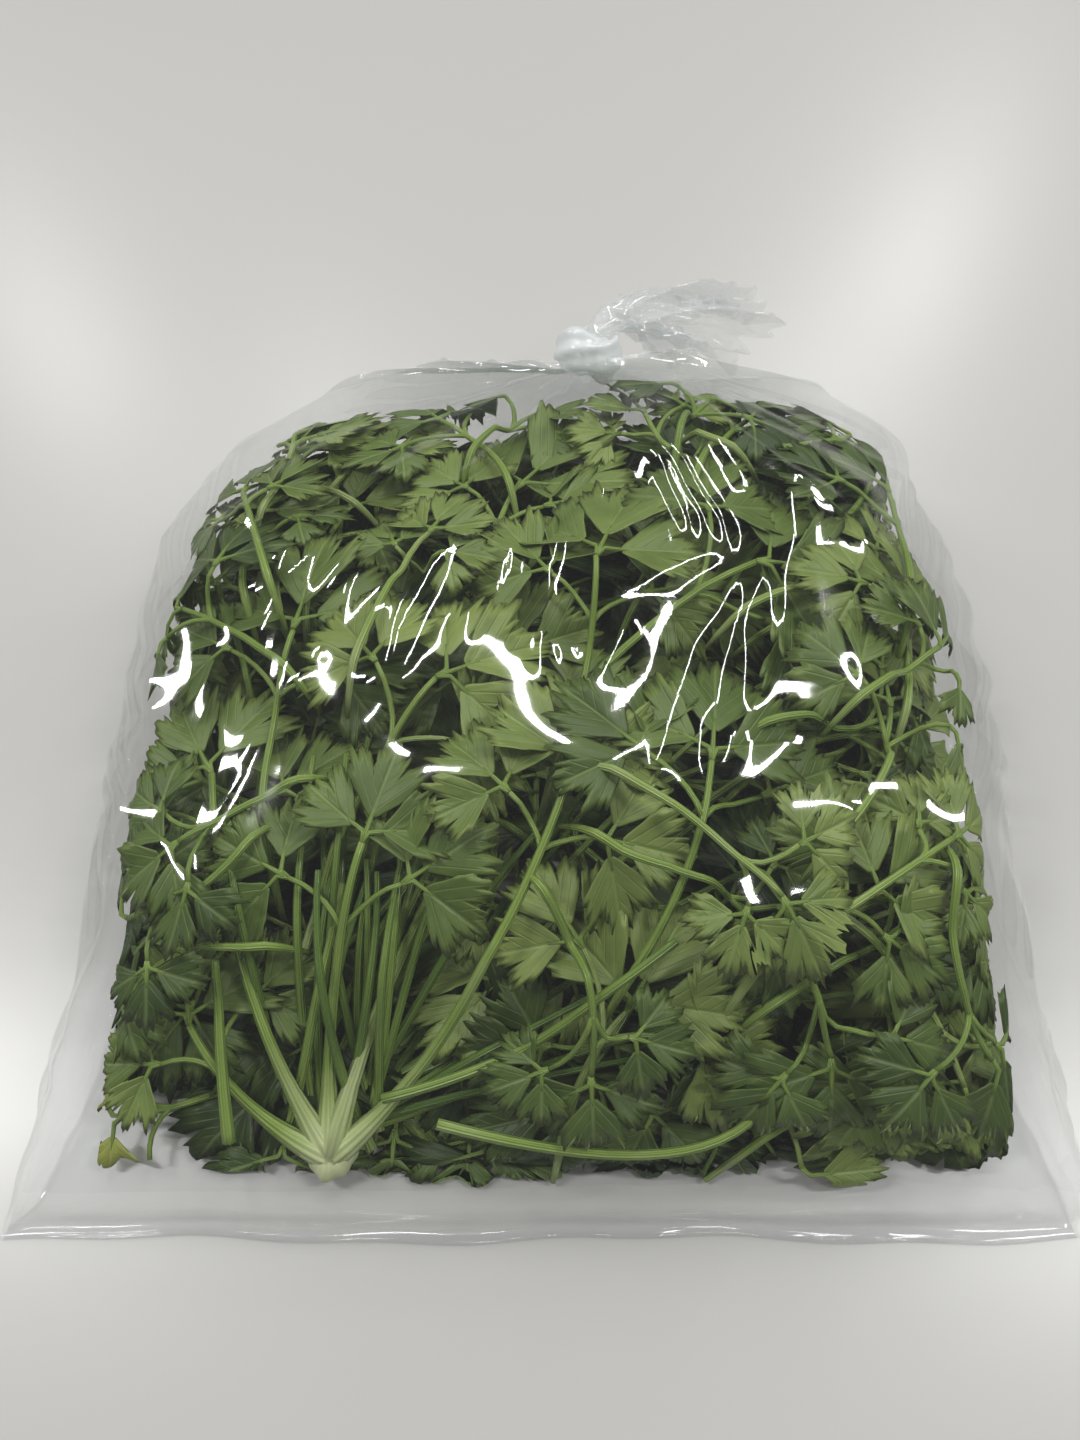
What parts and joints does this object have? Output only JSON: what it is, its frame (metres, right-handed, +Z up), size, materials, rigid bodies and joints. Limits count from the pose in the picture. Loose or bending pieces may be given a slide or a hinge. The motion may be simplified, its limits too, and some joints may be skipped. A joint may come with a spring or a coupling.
{
  "type": "parsley bunch",
  "caption": "Bunch of flat-leaf parsley lying in a clear plastic bag that is gathered and knotted at its top.",
  "frame": {"origin": "centre of the underside of the bag's bounding box, on the table", "axes": "+Z up from the table, +Y from the bag's sealed seam towards its knot, +X to the right seen from the seam"},
  "size_m": [0.3, 0.32, 0.0972],
  "materials": {
    "parsley_leaf": "satin plant tissue",
    "parsley_yellowed": "satin plant tissue",
    "film_clear": "clear glossy film",
    "film_milky": "milky glossy film"
  },
  "bodies": {
    "root": {"bag_film": "film_clear", "bag_tail": "film_clear", "bag_knot": "film_milky", "crown_fronds": "parsley_leaf", "frond_01": "parsley_leaf", "frond_02": "parsley_leaf", "frond_03": "parsley_yellowed", "frond_04": "parsley_leaf", "frond_05": "parsley_leaf", "frond_06": "parsley_leaf", "frond_07": "parsley_leaf", "frond_08": "parsley_leaf", "frond_09": "parsley_leaf", "frond_10": "parsley_leaf", "frond_11": "parsley_leaf", "frond_12": "parsley_leaf", "frond_13": "parsley_leaf", "frond_14": "parsley_leaf", "frond_15": "parsley_leaf", "frond_16": "parsley_leaf", "frond_17": "parsley_leaf", "frond_18": "parsley_leaf", "frond_19": "parsley_leaf", "frond_20": "parsley_leaf", "frond_21": "parsley_leaf", "frond_22": "parsley_leaf", "frond_23": "parsley_leaf"}
  },
  "joints": []
}
